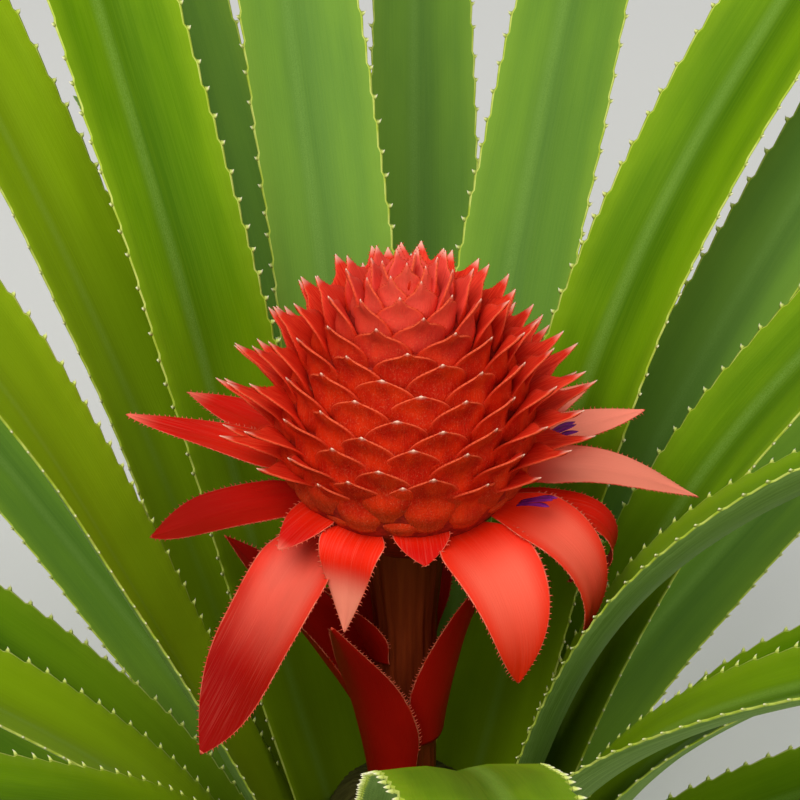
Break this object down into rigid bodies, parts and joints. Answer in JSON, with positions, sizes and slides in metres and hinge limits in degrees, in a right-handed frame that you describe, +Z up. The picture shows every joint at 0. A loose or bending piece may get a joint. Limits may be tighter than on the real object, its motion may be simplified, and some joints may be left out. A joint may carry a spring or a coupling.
{
  "type": "pineapple plant",
  "caption": "Pineapple plant in flower: a rosette of spiny channelled sword leaves round a short stem, with a red cone-shaped flower head ringed by long pointed bracts.",
  "frame": {"origin": "centre of the flat cut under the stem, at ground level, where the ground mount is", "axes": "+Z up along the stem; -Y is the side that faces the picture's camera; +X is to its right"},
  "size_m": [1.0478, 1.1252, 0.7257],
  "materials": {
    "stem": "matte fibrous stem, pale green-brown, ringed with leaf scars",
    "stalk": "matte dark red-brown stalk with a pale bloom",
    "head": "matte coral-red overlapping scales with a fine white bloom and pale claws",
    "bract": "satin bright red blade with a pale pink underside and fine pale teeth",
    "stalk_bract": "satin dark red blade with fine pale teeth",
    "leaf": "waxy yellow-green blade with fine lengthwise lines, a pale margin and hooked spines"
  },
  "bodies": {
    "root": {"stem": "stem", "flower_stalk": "stalk", "flower_head": "head", "long_bract_01": "bract", "long_bract_02": "bract", "long_bract_03": "bract", "long_bract_04": "bract", "long_bract_05": "bract", "long_bract_06": "bract", "long_bract_07": "bract", "long_bract_08": "bract", "long_bract_09": "bract", "long_bract_10": "bract", "long_bract_11": "bract", "long_bract_12": "bract", "long_bract_13": "bract", "long_bract_14": "bract", "long_bract_15": "bract", "stalk_bract_01": "stalk_bract", "stalk_bract_02": "stalk_bract", "stalk_bract_03": "stalk_bract", "stalk_bract_04": "stalk_bract", "stalk_bract_05": "stalk_bract", "stalk_bract_06": "stalk_bract", "leaf_01": "leaf", "leaf_02": "leaf", "leaf_03": "leaf", "leaf_04": "leaf", "leaf_05": "leaf", "leaf_06": "leaf", "leaf_07": "leaf", "leaf_08": "leaf", "leaf_09": "leaf", "leaf_10": "leaf", "leaf_11": "leaf", "leaf_12": "leaf", "leaf_13": "leaf", "leaf_14": "leaf", "leaf_15": "leaf", "leaf_16": "leaf", "leaf_17": "leaf", "leaf_18": "leaf", "leaf_19": "leaf", "leaf_20": "leaf", "leaf_21": "leaf", "leaf_22": "leaf", "leaf_23": "leaf", "leaf_24": "leaf", "leaf_25": "leaf", "leaf_26": "leaf", "leaf_27": "leaf", "leaf_28": "leaf", "leaf_29": "leaf", "leaf_30": "leaf", "leaf_31": "leaf", "leaf_32": "leaf", "leaf_33": "leaf", "leaf_34": "leaf"}
  },
  "joints": []
}
